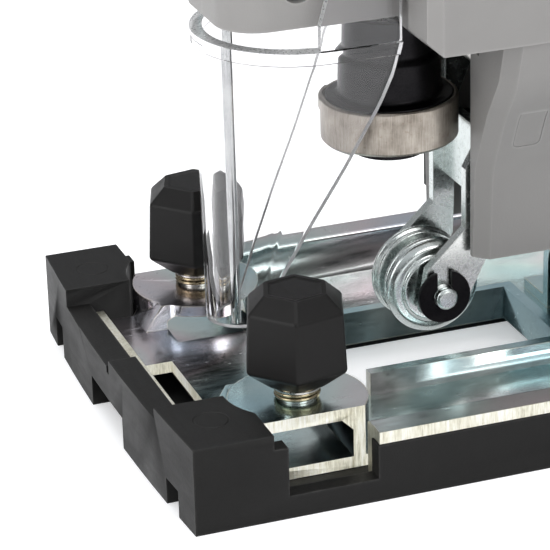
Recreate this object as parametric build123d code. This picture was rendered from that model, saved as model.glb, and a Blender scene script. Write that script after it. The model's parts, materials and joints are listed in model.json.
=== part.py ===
from build123d import *
import math
import os

os.makedirs("parts", exist_ok=True)

# The jigsaw stands on its sole at z = 0. The blade runs down the line x = 0, y = 0.
# The cutting direction is -X, the cord end is +X and the tool's left side is -Y.

# Driving dimensions, in millimetres
shoe_width = 83.0
shoe_front = -49.0
shoe_rear = 104.0
cover_floor = 1.7
cover_side_top = 9.7
cover_front_top = 11.5
cover_block_top = 14.7
cover_wall = 3.0
sheet = 2.0
sheet_lift = 0.1
front_deck_top = 8.0
arch_top = 12.4
arch_inner_end = 17.0
arch_outer_end = 32.5
boss_radius = 11.3
knob_x = -26.2
knob_spacing = 50.6
knob_across_corners = 18.4
knob_height = 16.1
stud_radius = 3.0
spring_wire = 0.7
slot_half_width = 11.2
slot_rear = 26.0
lip_height = 4.1
tilt_axis_z = 12.0
ridge_radius = 10.0
ridge_front = 33.0
ridge_rear = 79.0
leg_front = 10.8
leg_rear = 84.0
leg_bottom = 24.2
leg_half_width = 12.0
leg_top_half = 24.4
leg_bevel = 2.2
channel_half_width = 8.8
nose_front = -31.5
nose_bottom = 69.0
nose_half_width = 13.0
case_half_width = 25.8
case_bottom = 65.5
case_top = 141.0
barrel_radius = 27.0
motor_z = 85.5
gear_teeth = 48
pinion_teeth = 6
gear_module = 0.9
stroke = 20.0
shell_wall = 2.8
grip_top = 196.0
grip_bottom = 166.0
grip_half_width = 17.0
pad_thickness = 1.3
plunger_radius = 4.0
ring_radius = 11.5
ring_bottom = 44.25
ring_top = 51.8
roller_radius = 8.2
roller_half_width = 5.05
roller_x = 6.2
roller_z = 17.4
fork_pivot_x = 15.2
fork_pivot_z = 57.0
guard_front = -32.5
guard_wall = 1.6
guard_rim_z = 66.0
guard_foot_z = 16.5
guard_top_half = 16.6
guard_foot_half = 6.0
guard_pivot_x = -9.4
guard_pivot_z = 92.0

# Clearances
running_gap = 0.05
joint_gap = 0.3
cut_over = 1.0

# Derived sizes
floor_bottom = cover_floor + sheet_lift
floor_top = floor_bottom + sheet
knob_y = knob_spacing / 2
stator_radius = barrel_radius - 4.5
armature_radius = stator_radius - 9.0
gear_radius = gear_module * gear_teeth / 2
pinion_radius = gear_module * pinion_teeth / 2
gear_z = motor_z + gear_radius + pinion_radius + 0.2
crank_radius = stroke / 2
hub_radius = plunger_radius + 1.6


def box(x0, x1, y0, y1, z0, z1):
    """A block between two corners."""
    size = (x1 - x0, y1 - y0, z1 - z0)
    middle = ((x0 + x1) / 2, (y0 + y1) / 2, (z0 + z1) / 2)
    return Pos(*middle) * Box(*size)


def rod_x(x0, x1, y, z, radius):
    """A round bar along X."""
    return Pos((x0 + x1) / 2, y, z) * Rot(0, 90, 0) * Cylinder(radius, x1 - x0)


def rod_y(y0, y1, x, z, radius):
    """A round bar along Y."""
    return Pos(x, (y0 + y1) / 2, z) * Rot(90, 0, 0) * Cylinder(radius, y1 - y0)


def rod_z(z0, z1, x, y, radius):
    """A round bar along Z."""
    return Pos(x, y, (z0 + z1) / 2) * Cylinder(radius, z1 - z0)


def plate_xz(points, y0, y1, corner=0.0):
    """A flat piece drawn in side view and given its thickness along Y."""
    outline = Polyline([(x, z) for x, z in points], close=True)
    face = make_face(outline)
    if corner > 0:
        face = fillet(face.vertices(), corner)
    plane = Plane(origin=(0, y1, 0), x_dir=(1, 0, 0), z_dir=(0, -1, 0))
    return extrude(plane * face, amount=y1 - y0)


def plate_yz(points, x0, x1, corner=0.0):
    """A flat piece drawn in front view and given its length along X."""
    outline = Polyline([(y, z) for y, z in points], close=True)
    face = make_face(outline)
    if corner > 0:
        face = fillet(face.vertices(), corner)
    plane = Plane(origin=(x0, 0, 0), x_dir=(0, 1, 0), z_dir=(1, 0, 0))
    return extrude(plane * face, amount=x1 - x0)


def both_sides(shape):
    """The shape and its mirror across the middle plane."""
    return shape + mirror(shape, about=Plane.XZ)


def save(shape, name, colour):
    """Write one piece or one group of like pieces to its own STEP file."""
    solids = shape.solids()
    result = solids[0] if len(solids) == 1 else Compound(solids)
    result.label = name
    result.color = Color(*colour)
    export_step(result, "parts/" + name + ".step")


BLACK = (0.03, 0.03, 0.03)
GREY = (0.55, 0.54, 0.53)
ZINC = (0.72, 0.76, 0.74)
STEEL = (0.62, 0.60, 0.57)
CLEAR = (0.85, 0.92, 0.95)
BRASS = (0.70, 0.58, 0.30)
COPPER = (0.72, 0.38, 0.20)
ALLOY = (0.66, 0.67, 0.68)


# Plastic cover of the shoe: a tray with two corner blocks and open side windows
half = shoe_width / 2
inner_half = half - cover_wall
cover = box(shoe_front - 2, shoe_rear, -half, half, 0, cover_side_top)
cover += box(shoe_front - 2, shoe_front + 3.2, -half, half, 0, cover_front_top)
cover += box(shoe_front - 2, shoe_front + 3.2, -half, -1.5, 0, cover_front_top + 1.4)
cover -= box(shoe_front + 3.2, shoe_rear - cover_wall, -inner_half, inner_half, cover_floor, 30)
block_rear = shoe_front + 13.1
cover += both_sides(box(shoe_front - 2, block_rear, 25, half, 0, cover_block_top))
cover += both_sides(box(block_rear, block_rear + 2.3, inner_half, half, 0, 12.2))
for side in (-1, 1):
    scoop = rod_z(cover_floor, 40, knob_x, side * knob_y, boss_radius + 1.0)
    cover -= scoop
    window_y = (inner_half - 1, half + 1) if side > 0 else (-half - 1, -inner_half + 1)
    cover -= box(block_rear + 2.3, -18.8, window_y[0], window_y[1], 3.9, 30)
bow = 1.5
bow_radius = (half ** 2 + bow ** 2) / (2 * bow)
cover &= rod_z(-1, 40, shoe_front - bow + bow_radius, 0, bow_radius)
cover -= box(shoe_front - 3, shoe_front + 3.2, 29.6, 34.8, -1, 5.8)
cover -= box(shoe_front - 3, shoe_front + 3.2, -8.3, 9.3, -1, 5.5)
cover -= box(shoe_front - 3, shoe_front + 3.2, -34.6, -29.4, -1, 4.6)
cover -= box(shoe_front - 3, shoe_front + 3.2, -1.8, -0.6, 10.4, 20)
cover -= box(-18.0, slot_rear + 2, -slot_half_width - 2.2, slot_half_width + 2.2, -1, 10)
cover -= rod_z(-1, 10, 56, 0, 6)
cover -= box(96, shoe_rear + 1, -12, 12, 5.0, 20)
for side in (-1, 1):
    mark = rod_z(cover_block_top - 0.2, cover_block_top + 1, -43.0, side * 32.5, 2.9)
    mark -= rod_z(cover_block_top - 0.2, cover_block_top + 1, -43.0, side * 32.5, 2.6)
    cover -= mark
save(cover, "shoe_cover", BLACK)

# Pressed steel base plate that lies in the cover
wall_out = inner_half - 0.2
wall_in = wall_out - sheet
rim_top = cover_side_top + sheet_lift + sheet
plate_rear = shoe_rear - cover_wall - 0.5
floor = box(-35.4, plate_rear, -wall_out, wall_out, floor_bottom, floor_top)
floor -= both_sides(box(-36, -16.5, arch_outer_end, wall_out + 1, 0, 20))
plate = floor
plate += both_sides(box(-18.6, plate_rear, wall_in, wall_out, floor_bottom, rim_top))
plate += both_sides(box(-18.6, plate_rear, wall_in, half - 0.1, rim_top - sheet, rim_top))
plate += box(plate_rear - sheet, plate_rear, -wall_out, wall_out, floor_bottom, rim_top - 3)
deck = box(-45.4, -19.0, -24.6, 24.6, front_deck_top - sheet, front_deck_top)
deck += box(-45.4, -43.5, -24.6, 24.6, front_deck_top - sheet, front_deck_top + 1.9)
plate += deck
plate += box(-21.0, -19.0, -arch_inner_end, arch_inner_end, floor_bottom, front_deck_top)
arch_outer = [
    (-38.4, front_deck_top - sheet),
    (-38.4, front_deck_top - 0.2),
    (-35.4, arch_top),
    (-20.6, arch_top),
    (-17.5, arch_top - 3.1),
    (-17.5, floor_bottom),
    (-30.0, floor_bottom),
    (-36.4, front_deck_top - sheet),
]
tunnel = [
    (-34.4, floor_top),
    (-34.4, arch_top - sheet - 1.2),
    (-33.2, arch_top - sheet),
    (-21.4, arch_top - sheet),
    (-19.5, arch_top - sheet - 1.9),
    (-19.5, floor_top),
]
arch = plate_xz(arch_outer, arch_inner_end, arch_outer_end)
arch += rod_z(floor_bottom, arch_top, knob_x, knob_y, boss_radius)
arch = arch & box(-60, 0, arch_inner_end - 4, arch_outer_end, 0, 40)
plate -= both_sides(box(-50, block_rear + 0.3, 24.7, 50, 0, 30))
plate += both_sides(arch)
plate -= both_sides(box(-50, block_rear + 0.3, 24.7, 50, 0, 30) -
                    rod_z(-1, 31, knob_x, knob_y, boss_radius + 0.01))
plate -= both_sides(plate_xz(tunnel, arch_inner_end - 6, arch_outer_end + 1))
front_window = box(-42.7, -37.8, -22.0, 4.2, 0, front_deck_top + 1)
plate -= front_window
slot = box(-19.0, slot_rear, -slot_half_width, slot_half_width, 0, 30)
plate += box(-9.0, slot_rear + sheet, -slot_half_width - sheet, slot_half_width + sheet,
             floor_bottom, floor_top + lip_height)
plate -= slot
for side in (-1, 1):
    plate -= rod_z(floor_top + 1, 30, knob_x, side * knob_y, stud_radius + 0.1)
plate -= rod_z(0, 30, 56, 0, 5.5)
save(plate, "base_plate", ZINC)

# Steel ridge on which the tool body tilts
ridge_foot_top = floor_top + sheet
ridge = box(ridge_front, ridge_rear, -ridge_radius, ridge_radius, floor_top, tilt_axis_z)
ridge += rod_x(ridge_front, ridge_rear, 0, tilt_axis_z, ridge_radius)
ridge &= box(0, 100, -40, 40, floor_top, 60)
ridge += box(ridge_front, ridge_rear, -18, 18, floor_top, ridge_foot_top)
ridge -= rod_x(ridge_front - 1, ridge_rear + 1, 0, tilt_axis_z, ridge_radius - sheet)
ridge -= box(ridge_front - 1, ridge_rear + 1, -ridge_radius + sheet, ridge_radius - sheet,
             0, tilt_axis_z)
ridge -= box(51, 61, -ridge_radius * 0.72, ridge_radius * 0.72, tilt_axis_z + 2, 60)
rivets = None
for x in (39.0, 73.0):
    for y in (-14.0, 14.0):
        ridge -= rod_z(0, 30, x, y, 1.6)
        rivet = rod_z(floor_top, ridge_foot_top + 1.2, x, y, 1.6)
        rivet += rod_z(ridge_foot_top, ridge_foot_top + 1.2, x, y, 2.8)
        rivets = rivet if rivets is None else rivets + rivet
save(ridge, "tilt_ridge", ZINC)
save(rivets, "ridge_rivets", ZINC)

# Two guide knobs, each with a stud, a spring and a thrust washer
washer_top = arch_top + 2.4
for side, word in ((-1, "left"), (1, "right")):
    y = side * knob_y
    coil = Helix(pitch=0.8, height=1.35, radius=stud_radius + 0.55)
    section = Plane(origin=coil @ 0, z_dir=coil % 0) * Circle(spring_wire / 2)
    spring = sweep(section, path=coil)
    save(Pos(knob_x, y, arch_top + 0.4) * spring, word + "_knob_spring", BRASS)
    washer = rod_z(washer_top - 0.3, washer_top, knob_x, y, stud_radius + 1.0)
    washer -= rod_z(0, 40, knob_x, y, stud_radius + 0.1)
    save(washer, word + "_knob_washer", STEEL)
    corner = knob_across_corners / 2
    bottom = washer_top + 0.2
    top = bottom + knob_height
    lower = bottom + 3.5
    upper = top - 2.7
    body = loft([
        Plane.XY.offset(bottom + 0.8) * RegularPolygon(corner * 0.62, 6),
        Plane.XY.offset(lower) * RegularPolygon(corner, 6),
    ])
    body += loft([
        Plane.XY.offset(lower) * RegularPolygon(corner, 6),
        Plane.XY.offset(upper) * RegularPolygon(corner * 0.94, 6),
    ])
    body += loft([
        Plane.XY.offset(upper) * RegularPolygon(corner * 0.94, 6),
        Plane.XY.offset(top) * RegularPolygon(corner * 0.61, 6),
    ])
    body += rod_z(bottom, bottom + 2, 0, 0, corner * 0.54)
    body = Pos(knob_x, y, 0) * Rot(0, 0, 41) * body
    stud = rod_z(arch_top - sheet - 1.5, bottom + 12, knob_x, y, stud_radius)
    body -= stud
    save(body, word + "_guide_knob", BLACK)
    save(stud, word + "_knob_stud", STEEL)

# Housing: one outside form, hollowed, then split into two halves


def grip_form(inset):
    """The bar of the handle alone, drawn in by an even amount."""
    t = inset
    grip = plate_xz([
        (-30 + t, grip_bottom + t),
        (128 - t, grip_bottom + t),
        (128 - t, grip_top - 10),
        (118 - t, grip_top - t),
        (-20 + t, grip_top - t),
        (-30 + t, grip_top - 12),
    ], -grip_half_width + t, grip_half_width - t)
    if t < 2:
        grip = fillet(grip.edges().filter_by(Axis.X), 7 - t)
    return grip


def outside(inset):
    """The outer form of the housing, drawn in by an even amount."""
    t = inset
    nose = plate_xz([
        (nose_front + t, nose_bottom + t),
        (4, nose_bottom + t),
        (4, 168),
        (-24 + t, 168),
        (nose_front + t, 138),
    ], -nose_half_width + t, nose_half_width - t)
    if t == 0:
        upright = nose.edges().filter_by(Axis.Z).sort_by(Axis.X)[:2]
        nose = fillet(upright, 7)
    case = box(-3 + t, 30, -case_half_width + t, case_half_width - t,
               case_bottom + t, case_top - t)
    if t == 0:
        case = fillet(case.edges().filter_by(Axis.X).sort_by(Axis.Z)[-2:], 9)
        case = chamfer(case.edges().sort_by(Axis.X)[0:3], 2.0)
    barrel = rod_x(20, 118 - t, 0, motor_z, barrel_radius - t)
    flank = [(leg_half_width, leg_bottom + t), (leg_half_width + 1.0, 40), (17.5, 50)]
    flank += [(22.0, 57), (leg_top_half, 65), (leg_top_half, 80)]
    right_flank = [(y - t, z) for y, z in flank]
    left_flank = [(t - y, z) for y, z in reversed(flank)]
    leg = plate_yz(right_flank + left_flank, leg_front + t, 110 - t)
    leg &= plate_xz([
        (leg_front + t, leg_bottom + t),
        (leg_rear - t, leg_bottom + t),
        (106 - t, 62),
        (106 - t, 84),
        (leg_front + t, 84),
    ], -40, 40)
    if t == 0:
        front_face = leg.faces().sort_by(Axis.X)[0]
        leg = chamfer(front_face.edges().filter_by(Axis.Z, reverse=True).filter_by(
            lambda e: abs(e.center().Y) > 11 and e.center().Z < 66), leg_bevel)
    post = plate_xz([
        (-30 + t, 136),
        (18 - t, 136),
        (13 - t, 152),
        (15 - t, 176),
        (-27 + t, 176),
        (-30 + t, 150),
    ], -16 + t, 16 - t)
    back = plate_xz([
        (92 + t, 104),
        (116 - t, 94),
        (124 - t, 120),
        (126 - t, 182),
        (96 + t, 182),
        (98 + t, 130),
    ], -15 + t, 15 - t)
    return nose + case + barrel + leg + post + back + grip_form(t)


shell = outside(0) - outside(shell_wall)
# Solid seats inside the two halves
cavity = outside(shell_wall)
seats = box(-12, 7.6, -40, 40, 86.2, 92.6)
seats += box(-12, 7.6, -40, 40, gear_z + 21.0, gear_z + 27.0)
for x in (42.0, 68.0):
    seats += rod_x(x, x + 3, 0, motor_z, barrel_radius) - rod_x(x, x + 3, 0, motor_z, stator_radius)
seats += rod_x(99, 105, 0, motor_z, barrel_radius) - rod_x(99, 105, 0, motor_z, 8.0)
seats += box(17.8, 19.0, -40, 40, 68, 140) - box(17, 20, -20, 20, 72, gear_z + 25)
seats += box(leg_front, 24, -40, 40, 20, 66)
seats += both_sides(box(-14, -4.5, 7, 40, 86.2, 97.5))
seats += both_sides(box(-11, -1, 4.7, 7.5, 184, 200))
seats += box(50, 62, -40, 40, 20, 42)
seats += box(100, 126, -40, 40, 172, 188)
shell += seats & cavity
# Room for the plunger, the clamp, the roller fork and the controls
shell -= box(-13, leg_front + 1, -12.1, 12.1, 60, 86.2)
shell -= box(leg_front - 1, 21.2, -channel_half_width, channel_half_width, 20, 64)
shell -= rod_z(60, 170, 0, 0, plunger_radius + 1.0)
shell -= box(-7, 7, -7, 7, 86.0, 92.8)
shell -= box(-7, 7, -7, 7, gear_z + 20.8, gear_z + 27.2)
shell -= rod_y(-11.5, 11.5, fork_pivot_x, fork_pivot_z, 2.0)
shell -= rod_y(-9, 40, 17.6, 40, 3.3)
shell -= rod_z(nose_bottom - 1, nose_bottom + 5, -27.5, 0, 0.85)
shell -= box(17, 53, -7.4, 7.4, grip_bottom - 2, grip_bottom + 4)
shell -= rod_y(-30, -9, 8, 178, 4.3)
shell -= box(-17, 5, -4.5, 4.5, 186, 200)
shell -= rod_y(-9, 9, -6, 187.0, 2.3)
shell -= rod_x(96, 140, 0, 180, 8.0)
shell -= rod_x(80, 125, 0, 44, 10.2)
shell -= rod_z(10, 41, 56, 0, 2.55)
for i in range(6):
    slot_x = 80 + 4.4 * i
    shell -= box(slot_x, slot_x + 2.2, -40, 40, motor_z - 9, motor_z + 11) - \
        rod_x(70, 120, 0, motor_z, barrel_radius - shell_wall - 0.4)
for i in range(4):
    slot_x = 26 + 4.4 * i
    vent = box(slot_x, slot_x + 2.2, -40, 40, motor_z - 16, motor_z - 2)
    shell -= vent - box(0, 100, -23, 23, 0, 200)
screw_spots = [(-20, 76), (-20, 124), (30.5, 138), (92, 66), (30.5, 34), (74, 34), (112, 124), (90, 188)]
# The guard turns on a stub at each side of the nose
for side in (-1, 1):
    stub = rod_y(min(side * 12, side * 14.7), max(side * 12, side * 14.7),
                 guard_pivot_x, guard_pivot_z, 4.2)
    stub += rod_y(min(side * 12, side * 16.9), max(side * 12, side * 16.9),
                  guard_pivot_x, guard_pivot_z, 2.4)
    shell += stub
screws = None
for x, z in screw_spots:
    shell += (rod_y(-40, 40, x, z, 3.6) & outside(0))
for x, z in screw_spots:
    shell -= rod_y(-60, 9.0, x, z, 1.5)
    shell -= rod_y(-60, -9.5, x, z, 2.9)
    screw = rod_y(-9.5, 9.0, x, z, 1.5) + rod_y(-11.5, -9.5, x, z, 2.7)
    socket = rod_y(-12, -10.4, x, z, 1.2)
    screw -= socket
    screws = screw if screws is None else screws + screw
left_space = box(-100, 200, -100, 0, -10, 300)
right_space = box(-100, 200, 0, 100, -10, 300)


def largest(shape):
    """The one big solid of a cut, without slivers."""
    return sorted(shape.solids(), key=lambda s: s.volume)[-1]


grip_pad = (grip_form(0) - grip_form(pad_thickness)) & box(28, 116, -40, 40, 173, 220)
shell -= grip_pad
for x, z in screw_spots:
    grip_pad -= rod_y(-60, -9.5, x, z, 2.9)
plugs = both_sides(plate_xz([(15.4, 44.6), (20.2, 44.6), (20.2, 53.2), (15.4, 53.2)], 14.6, 18.4, 1.0))
shell -= plugs
save(largest(shell & left_space), "housing_left", GREY)
save(largest(shell & right_space), "housing_right", GREY)
save(screws, "housing_screws", STEEL)
save(grip_pad, "grip_pad", BLACK)
save(plugs & outside(0), "leg_plugs", GREY)

# Tilt saddle, its screw and the shoe it pulls up against the ridge
saddle = box(ridge_front - 2, ridge_rear + 2, -11.8, 11.8, tilt_axis_z + 4, leg_bottom)
saddle -= rod_x(0, 100, 0, tilt_axis_z, ridge_radius + joint_gap)
saddle -= rod_z(0, 40, 56, 0, 2.55)
save(saddle, "tilt_saddle", ALLOY)
shoe_outer = ridge_radius - sheet - joint_gap
wedge = plate_yz([(0, tilt_axis_z), (6, tilt_axis_z + 9), (-6, tilt_axis_z + 9)], 49, 63)
clamp_shoe = rod_x(49, 63, 0, tilt_axis_z, shoe_outer) - rod_x(48, 64, 0, tilt_axis_z, shoe_outer - 2)
clamp_shoe = (clamp_shoe & wedge) - rod_z(0, 40, 56, 0, 2.55)
save(clamp_shoe, "bevel_clamp_shoe", STEEL)
bevel_screw = rod_z(shoe_outer + tilt_axis_z - 3.2, 40.0, 56, 0, 2.5)
bevel_screw += rod_z(shoe_outer + tilt_axis_z - 7.2, shoe_outer + tilt_axis_z - 2.9, 56, 0, 4.2)
bevel_screw -= rod_z(0, shoe_outer + tilt_axis_z - 4.6, 56, 0, 2.0)
clamp_shoe_bottom = shoe_outer + tilt_axis_z - 2.0
save(bevel_screw - clamp_shoe, "bevel_screw", STEEL)

# Small fixed pieces of the housing
wire = rod_z(guard_foot_z - 1.0, nose_bottom + 5, -27.5, 0, 0.85)
save(wire, "finger_wire", STEEL)
bushes = box(-7, 7, -7, 7, 86.2, 92.6) + box(-7, 7, -7, 7, gear_z + 21.0, gear_z + 27.0)
bushes -= rod_z(60, 200, 0, 0, plunger_radius + running_gap)
save(bushes, "plunger_bushes", BRASS)
bulkhead = box(19.0, 22.0, -22.6, 22.6, 69, case_top - 6)
bulkhead = fillet(bulkhead.edges().filter_by(Axis.X), 6)
bulkhead += rod_x(19.0, 26.5, 0, motor_z, 12.0)
bulkhead -= rod_x(19.0, 26.5, 0, motor_z, 9.5)
bulkhead += rod_x(19.0, 25.0, 0, gear_z, 8.0)
bulkhead -= rod_x(10, 30, 0, gear_z, 4.0)
save(bulkhead, "gear_bulkhead", ALLOY)
save(rod_x(8.0, 25.0, 0, gear_z, 4.0), "gear_post", STEEL)
bearings = rod_x(19.5, 26.5, 0, motor_z, 9.5) - rod_x(19, 27, 0, motor_z, 4.0 + running_gap)
bearings += rod_x(99, 105, 0, motor_z, 8.0) - rod_x(98, 106, 0, motor_z, 3.0 + running_gap)
save(bearings, "motor_bearings", STEEL)
stator = rod_x(40, 74, 0, motor_z, stator_radius) - rod_x(39, 75, 0, motor_z, armature_radius + 0.6)
save(stator, "motor_stator", STEEL)
coils = None
for x in (36.6, 74.0):
    coil_end = rod_x(x, x + 3.4, 0, motor_z, stator_radius - 1.5)
    coil_end -= rod_x(x - 1, x + 5, 0, motor_z, armature_radius + 1.2)
    coils = coil_end if coils is None else coils + coil_end
save(coils, "field_coils", COPPER)
holder_end = barrel_radius - 5.5
holders = both_sides(box(85.5, 93.5, 10.6, holder_end, motor_z - 4.5, motor_z + 4.5))
brushes = both_sides(box(87.5, 91.5, 10.0, holder_end - 2, motor_z - 3, motor_z + 3))
save(holders - brushes, "brush_holders", BRASS)
save(brushes, "carbon_brushes", BLACK)
gland = rod_x(100.5, 126, 0, 180, 7.9) + rod_x(128.2, 134, 0, 180, 9.5)
gland += rod_x(120, 134, 0, 180, 7.9)
gland -= rod_x(99, 140, 0, 180, 4.2)
save(gland, "cord_gland", BLACK)
port = rod_x(84, 112, 0, 44, 10.1) - rod_x(80, 113, 0, 44, 8.4)
save(port, "dust_port", BLACK)
switch = box(20, 60, -10, 10, grip_bottom + 11.4, grip_bottom + 24)
save(switch, "switch_body", BLACK)
save(rod_y(-11.5, 11.5, fork_pivot_x, fork_pivot_z, 2.0), "fork_pivot_pin", STEEL)

# Drive: armature shaft with its pinion, crank gear, plunger with its yoke


def toothed(teeth, module, length, phase, slack):
    """A straight toothed wheel along X, standing at the origin."""
    pitch_radius = module * teeth / 2
    tip = pitch_radius + module * 0.80
    root = pitch_radius - module * 1.05
    step = 2 * math.pi / teeth
    points = []
    for i in range(teeth):
        base = phase + i * step
        outline = (
            (root, -0.30), (pitch_radius, -0.235 + slack), (tip, -0.12),
            (tip, 0.12), (pitch_radius, 0.235 - slack), (root, 0.30),
        )
        for radius, part in outline:
            angle = base + part * step
            points.append((radius * math.sin(angle), radius * math.cos(angle)))
    return plate_yz(points, 0, length)


shaft = Pos(8.7, 0, motor_z) * toothed(pinion_teeth, gear_module, 5.6, math.pi / 6, 0.02)
shaft += rod_x(8.7, 15.0, 0, motor_z, pinion_radius - gear_module)
shaft += rod_x(14.3, 96, 0, motor_z, 4.0)
shaft += rod_x(96, 104.5, 0, motor_z, 3.0)
save(shaft, "motor_shaft", STEEL)
core = rod_x(40.5, 73.5, 0, motor_z, armature_radius)
for i in range(12):
    angle = i * math.pi / 6
    core -= rod_x(40, 74, armature_radius * math.sin(angle),
                  motor_z + armature_radius * math.cos(angle), 1.1)
core -= rod_x(40, 74, 0, motor_z, 4.0)
save(core, "armature_core", STEEL)
windings = None
for x in (37.2, 73.5):
    end = rod_x(x, x + 3.3, 0, motor_z, armature_radius - 2.0) - rod_x(x - 1, x + 5, 0, motor_z, 4.0)
    windings = end if windings is None else windings + end
save(windings, "armature_windings", COPPER)
commutator = rod_x(84, 95, 0, motor_z, 9.6) - rod_x(83, 96, 0, motor_z, 4.0)
save(commutator, "commutator", COPPER)
fan = rod_x(28.5, 30.0, 0, motor_z, 19.0) + rod_x(28.5, 35.5, 0, motor_z, 6.5)
for i in range(10):
    blade = box(30.0, 35.0, -0.7, 0.7, 6.0, 18.6)
    fan += Pos(0, 0, motor_z) * Rot(36 * i, 0, 0) * blade
fan -= rod_x(20, 40, 0, motor_z, 4.0)
save(fan, "cooling_fan", BLACK)
gear = Pos(8.7, 0, gear_z) * toothed(gear_teeth, gear_module, 5.6, math.pi, 0.02)
gear += rod_x(14.0, 17.5, 0, gear_z, 9.0)
gear -= rod_x(6, 20, 0, gear_z, 4.0 + running_gap)
gear += rod_x(6.4, 9.0, 0, gear_z - crank_radius, 2.6)
for i in (1, 3, 5):
    angle = i * math.pi / 3
    gear -= rod_x(8, 15, 13.5 * math.sin(angle), gear_z - 13.5 * math.cos(angle), 3.4)
save(gear, "crank_gear", STEEL)
yoke_z = gear_z - crank_radius
plunger_top = gear_z + 30.0
plunger = rod_z(ring_top - 4, plunger_top, 0, 0, plunger_radius)
save(plunger, "plunger", STEEL)
yoke = box(3.0, 6.0, -15.5, 15.5, yoke_z - 5.2, yoke_z + 5.2)
yoke -= box(2, 7, -13.0, 13.0, yoke_z - 2.9, yoke_z + 2.9)
yoke += box(-5.4, 3.2, -5.4, 5.4, yoke_z - 5.2, yoke_z + 5.2)
yoke -= rod_z(0, 300, 0, 0, plunger_radius)
save(yoke, "scotch_yoke", STEEL)
hub = rod_z(ring_bottom - 0.35, ring_top + 9.4, 0, 0, hub_radius)
hub += rod_z(ring_bottom - 2.4, ring_bottom - 0.35, 0, 0, hub_radius + 0.5)
hub -= rod_z(ring_top - 4, 90, 0, 0, plunger_radius)
hub -= box(-4.3, 4.3, -0.85, 0.85, 0, ring_top - 4.5)
save(hub, "blade_socket", BLACK)
ring = rod_z(ring_bottom, ring_top, 0, 0, ring_radius) - rod_z(0, 90, 0, 0, hub_radius + joint_gap)
ring = chamfer(ring.edges().filter_by(GeomType.CIRCLE).group_by(SortBy.RADIUS)[-1], 0.5)
save(ring, "clamp_ring", STEEL)
collar = rod_z(ring_top, ring_top + 4.6, 0, 0, 8.8)
collar += Pos(0, 0, ring_top + 6.1) * Cone(8.8, 7.2, 3.0)
collar -= rod_z(0, 90, 0, 0, hub_radius + joint_gap)
save(collar, "clamp_collar", BLACK)

# Roller guide
arm_line = [
    (2.4, 14.6), (6.2, 12.7), (10.0, 14.4), (14.0, 22.2), (14.2, 28.0), (14.6, 46.0),
    (17.8, 53.5), (17.8, 60.0), (12.8, 60.0), (12.6, 43.0), (10.4, 39.0), (10.4, 28.5), (3.6, 22.0),
]
fork = both_sides(plate_xz(arm_line, 6.0, 7.8))
fork += box(12.4, 14.2, -7.8, 7.8, 33.5, 46.0)
fork -= rod_y(-12, 12, fork_pivot_x, fork_pivot_z, 2.0 + running_gap)
fork -= rod_y(-12, 12, roller_x, roller_z, 1.95)
save(fork, "roller_fork", ZINC)
roller_pin = rod_y(-10.4, 10.4, roller_x, roller_z, 1.95)
clips = None
for side in (-1, 1):
    y0, y1 = sorted((side * 8.1, side * 9.0))
    clip = rod_y(y0, y1, roller_x, roller_z, 4.6) - rod_y(y0 - 1, y1 + 1, roller_x, roller_z, 1.95)
    clip -= box(roller_x - 1.3, roller_x + 1.3, y0 - 1, y1 + 1, roller_z, roller_z + 8)
    clips = clip if clips is None else clips + clip
save(roller_pin, "roller_pin", STEEL)
save(clips, "roller_clips", BLACK)
roller = rod_y(-roller_half_width, roller_half_width, roller_x, roller_z, roller_radius)
roller = chamfer(roller.edges().filter_by(GeomType.CIRCLE), 1.0)
groove = rod_y(-0.9, 0.9, roller_x, roller_z, roller_radius + 1)
groove -= rod_y(-0.9, 0.9, roller_x, roller_z, roller_radius - 2.6)
roller -= groove
for y in (-3.0, 3.0):
    step = rod_y(y - 0.4, y + 0.4, roller_x, roller_z, roller_radius + 1)
    step -= rod_y(y - 0.4, y + 0.4, roller_x, roller_z, roller_radius - 0.7)
    roller -= step
roller -= rod_y(-10, 10, roller_x, roller_z, 1.95 + running_gap)
save(roller, "guide_roller", ZINC)


# Clear guard around the blade


def guard_section(z, half_width, front, rear):
    """A blunt nose outline at one height, open at the back."""
    centre = front + half_width
    arc = ThreePointArc((centre, -half_width), (front, 0), (centre, half_width))
    side_a = Line((centre, half_width), (rear, half_width))
    back = Line((rear, half_width), (rear, -half_width))
    side_b = Line((rear, -half_width), (centre, -half_width))
    return Plane.XY.offset(z) * make_face([arc, side_a, back, side_b])


guard_outer = loft([
    guard_section(guard_foot_z, guard_foot_half, guard_front, -12),
    guard_section(guard_rim_z, guard_top_half, guard_front, -2),
], ruled=True)
guard_inner = loft([
    guard_section(guard_foot_z, guard_foot_half - guard_wall, guard_front + guard_wall, 0),
    guard_section(guard_rim_z, guard_top_half - guard_wall, guard_front + guard_wall, 10),
], ruled=True)
guard = guard_outer + extrude(guard_section(guard_rim_z - 2.2, guard_top_half + 0.5,
                                            guard_front - 0.5, -6), 2.2)
guard -= guard_inner
guard -= extrude(guard_section(guard_rim_z - 2.4, guard_top_half - guard_wall - 0.2,
                               guard_front + guard_wall + 0.4, 10), 6)
guard &= plate_xz([
    (-60, 0), (-28, 0), (-26.0, 17.0), (-21.2, 26.5), (-17.0, 35.0), (-12.6, 43.2),
    (-6.9, 55.0), (-5.0, 60.5), (-4.2, guard_rim_z + 1), (-60, guard_rim_z + 1),
], -40, 40)
ear_line = [
    (-13.4, guard_rim_z - 2.0), (-4.2, guard_rim_z - 2.0), (-4.2, 76.0),
    (guard_pivot_x + 5.0, guard_pivot_z), (guard_pivot_x - 5.0, guard_pivot_z), (-12.6, 76.0),
]
ear = plate_xz(ear_line, guard_top_half - guard_wall, guard_top_half)
ear += rod_y(guard_top_half - guard_wall, guard_top_half, guard_pivot_x, guard_pivot_z, 5.0)
guard += both_sides(ear)
guard -= rod_y(-30, 30, guard_pivot_x, guard_pivot_z, 2.4 + joint_gap)
save(guard, "blade_guard", CLEAR)

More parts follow.
